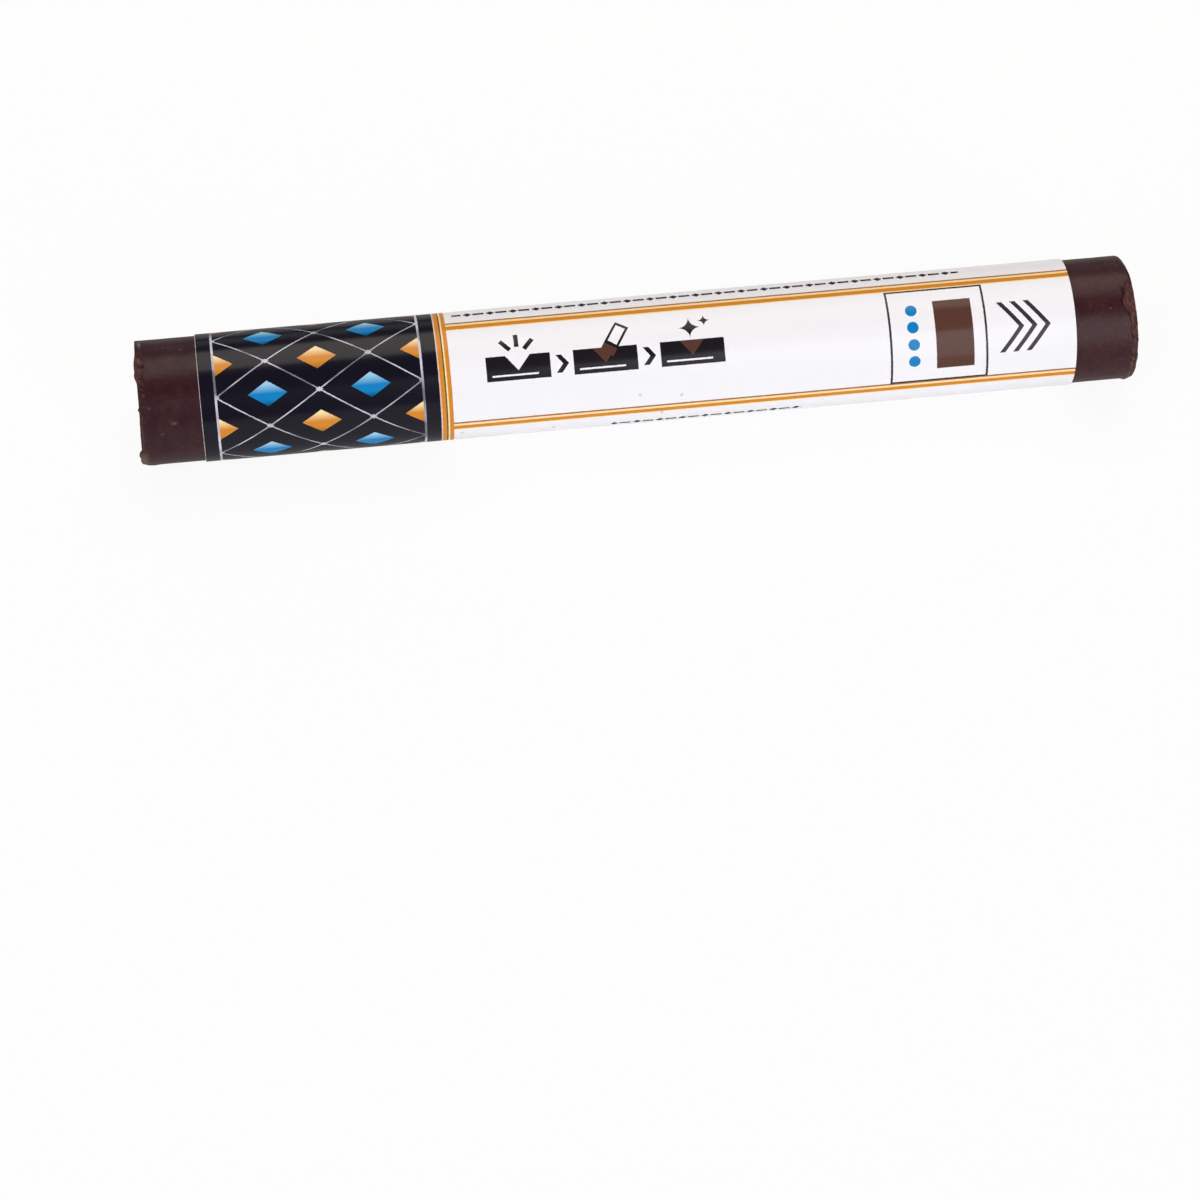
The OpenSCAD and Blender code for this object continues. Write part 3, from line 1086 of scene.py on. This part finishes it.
            # The step and the torn mark fade out towards the two edges of the slope.
            step = CHIP_STEP * chip * smooth(share * 9) * smooth((1 - share) * 5)
            torn = max(chip, NOSE_TORN * nose) * smooth(share * 5) * smooth((1.15 - share) * 4)
            r += rough - step - CHIP_CRACK * crevice
            return on_stick(x + rough, r, angle), (torn, pale, crevice)
        if ahead > ON_END:
            crevice = marked(angle, ahead, RIGHT_CREVICES)
            r += relief(point, SKIN_WAVES) - SKIN_CRACK * crevice
            return on_stick(x, r, angle), (0, marked(angle, ahead, RIGHT_PALE), SKIN_CRACK_SHADE * crevice)
        face = self.cut_face(point, look, radius, RIGHT_SNAP, point.z - AXIS_Z, point.y)
        proud, torn, pale, crevice = face
        beyond_chip = smooth((radius - distance - depth) / FACE_FADE)
        return on_stick(x + (proud - look.blade_marks) * beyond_chip, r, angle), (torn, pale, crevice)


class WAXSTICK_OT_label(bpy.types.Operator):
    """Cuts the printed label as a flat sheet, winds it round the stick and laps it over its first edge."""

    bl_idname = "waxstick.label"
    bl_label = "Wound Label"

    def execute(self, context):
        look = context.scene.wax_stick_label
        wax = context.scene.wax_stick_wax
        lap = math.degrees(look.lap_width / BARREL_R)
        climb = math.degrees(look.climb_width / BARREL_R)
        first_edge = math.degrees(look.lap_place) + lap / 2
        sweep = 360 + lap
        arc = math.radians(1) * BARREL_R
        length = LABEL_TO - LABEL_FROM

        bm = bmesh.new()
        steps_along, steps_round = 100, 216
        bmesh.ops.create_grid(bm, x_segments=steps_along, y_segments=steps_round, size=0.5)
        flat = bm.loops.layers.uv.new("print")
        turns = {}
        for vert in bm.verts:
            x = (LABEL_FROM + LABEL_TO) / 2 + vert.co.x * length
            travel = (vert.co.y + 0.5) * sweep
            angle = first_edge - travel
            step = look.paper_t + look.adhesive_t
            rise = step * smooth((travel - (sweep - lap - climb)) / climb)
            turns[vert] = (x / MM, (angle - math.degrees(look.print_place)) * arc / MM)
            radius = BARREL_R + rise + self.lift(look, x, angle, travel, sweep)
            vert.co = on_stick(x, radius, angle)
        for face in bm.faces:
            for loop in face.loops:
                loop[flat].uv = turns[loop.vert]
        bm.normal_update()
        some_face = next(iter(bm.faces))
        middle = some_face.calc_center_median()
        outwards = middle - Vector((middle.x, 0, AXIS_Z))
        if some_face.normal.dot(outwards) < 0:
            bmesh.ops.reverse_faces(bm, faces=bm.faces[:])
        printed = set(bm.faces)
        bmesh.ops.solidify(bm, geom=bm.faces[:], thickness=look.paper_t)
        for face in bm.faces:
            face.material_index = 0 if face in printed else 1
        bm.normal_update()
        crease = math.radians(40)
        for edge in bm.edges:
            edge.smooth = edge.calc_face_angle(0) < crease
        new_piece("label", bm, [gloss_label_paper(look, wax), cut_paper(look)], "label_paper")
        return {"FINISHED"}

    def lift(self, look, x, angle, travel, sweep):
        """How far the paper stands off the barrel: one edge is lifted and the free edge springs a little."""
        spot = on_stick(x, BARREL_R, angle)
        edge = look.edge_lift * math.exp((x - LABEL_TO) / EDGE_REACH)
        edge *= EDGE_EVEN + unevenness(spot, EDGE_WAVES)
        free = SPRING_HEIGHT * math.exp((travel - sweep) / SPRING_REACH)
        free *= 1 + unevenness(spot, SPRING_WAVES)
        return (edge + free + relief(spot, PAPER_WAVES)) * (1 - hump(angle, *HELD_DOWN))


class WAXSTICK_OT_adhesive(bpy.types.Operator):
    """Gives the adhesive coat under the label its finish."""

    bl_idname = "waxstick.adhesive"
    bl_label = "Label Adhesive"

    def execute(self, context):
        coat = frame["nodes"]["label_adhesive"]
        coat.data.materials.clear()
        coat.data.materials.append(acrylic_adhesive())
        return {"FINISHED"}


class WAXSTICK_OT_stage(bpy.types.Operator):
    """Sets the white floor, the soft lights and the camera."""

    bl_idname = "waxstick.stage"
    bl_label = "Studio"

    def execute(self, context):
        stage = context.scene.wax_stick_stage
        self.floor(context, stage)
        self.lights(context, stage)
        self.surroundings(context)
        nearest_seen = 0.01
        camera = bpy.data.cameras.new("camera")
        camera.sensor_fit = "HORIZONTAL"
        camera.sensor_width = SENSOR_WIDTH
        camera.lens = stage.lens
        camera.clip_start = nearest_seen
        holder = bpy.data.objects.new("camera", camera)
        holder.location = stage.camera_place
        holder.rotation_euler = stage.camera_turn
        context.scene.collection.objects.link(holder)
        context.scene.camera = holder
        context.scene.view_settings.view_transform = "Standard"
        return {"FINISHED"}

    def floor(self, context, stage):
        """Lays the white paper that the stick lies on."""
        half_width = 4
        bm = bmesh.new()
        bmesh.ops.create_grid(bm, x_segments=1, y_segments=1, size=half_width)
        mesh = bpy.data.meshes.new("floor")
        bm.to_mesh(mesh)
        bm.free()
        mesh.materials.append(seamless_paper(stage))
        floor = bpy.data.objects.new("floor", mesh)
        context.scene.collection.objects.link(floor)

    def lights(self, context, stage):
        """A card over the stick gives the soft streak along it; lights at the front and the back fill it.

        Each softbox has a name, a place, a width, a height, a brightness and a tone."""
        white = linear("#ffffff")
        aim_share = 0.2
        softboxes = (
            ("top_card", (0.06, 0.244, 0.56), 0.36, 0.46, stage.card_level, stage.card_tone),
            ("left_light", (-0.72, -0.5, 0.55), 0.9, 0.8, stage.left_level, white),
            ("right_light", (0.37, -0.95, 0.45), 0.5, 0.95, stage.right_level, white),
            ("back_light", (0.06, 0.55, 0.2), 0.9, 0.18, stage.back_level, white),
        )
        for name, place, width, height, level, tone in softboxes:
            lamp = bpy.data.lights.new(name, "AREA")
            lamp.shape = "RECTANGLE"
            lamp.size = width
            lamp.size_y = height
            lamp.color = tone[:3]
            lamp.energy = level * math.pi * width * height
            holder = bpy.data.objects.new(name, lamp)
            holder.location = place
            aim = Vector((place[0] * aim_share, 0, AXIS_Z)) - Vector(place)
            holder.rotation_euler = aim.to_track_quat("-Z", "Y").to_euler()
            context.scene.collection.objects.link(holder)

    def surroundings(self, context):
        """A pale horizon that fades into a dim room above it."""
        fade, horizon, room_level = 0.02, 1.0, 0.12
        world = bpy.data.worlds.new("studio")
        context.scene.world = world
        world.use_nodes = True
        tree = world.node_tree
        tree.nodes.clear()
        way = add(tree, "TexCoord").node.outputs["Generated"]
        height = add(tree, "SeparateXYZ", [way]).node.outputs["Z"]
        level = add(tree, "MapRange", [height, 0.0, fade, horizon, room_level])
        room = add(tree, "Background", {"Color": (1, 1, 1, 1), "Strength": level})
        add(tree, "OutputWorld", [room])


class WAXSTICK_PT_panel(bpy.types.Panel):
    """Lists the pieces and the sizes and colours that they are made from."""

    bl_idname = "WAXSTICK_PT_panel"
    bl_label = "Wax Stick"
    bl_space_type = "VIEW_3D"
    bl_region_type = "UI"
    bl_category = "Wax Stick"

    def draw(self, context):
        groups = (
            (context.scene.wax_stick_wax, (WAXSTICK_OT_wax,)),
            (context.scene.wax_stick_label, (WAXSTICK_OT_label, WAXSTICK_OT_adhesive)),
            (context.scene.wax_stick_stage, (WAXSTICK_OT_stage,)),
        )
        for group, operators in groups:
            box = self.layout.box()
            for name in group.__annotations__:
                box.prop(group, name)
            for operator in operators:
                box.operator(operator.bl_idname)


CLASSES = (
    WaxStickWax,
    WaxStickLabel,
    WaxStickStage,
    WAXSTICK_OT_wax,
    WAXSTICK_OT_label,
    WAXSTICK_OT_adhesive,
    WAXSTICK_OT_stage,
    WAXSTICK_PT_panel,
)
SETTINGS = {"wax_stick_wax": WaxStickWax, "wax_stick_label": WaxStickLabel, "wax_stick_stage": WaxStickStage}


def register():
    for cls in CLASSES:
        bpy.utils.register_class(cls)
    for name, group in SETTINGS.items():
        setattr(bpy.types.Scene, name, PointerProperty(type=group))


def unregister():
    for name in SETTINGS:
        delattr(bpy.types.Scene, name)
    for cls in reversed(CLASSES):
        bpy.utils.unregister_class(cls)


def main():
    """Makes the stick and its stage."""
    register()
    bpy.ops.waxstick.wax()
    bpy.ops.waxstick.label()
    bpy.ops.waxstick.adhesive()
    bpy.ops.waxstick.stage()


if __name__ == "__main__":
    main()
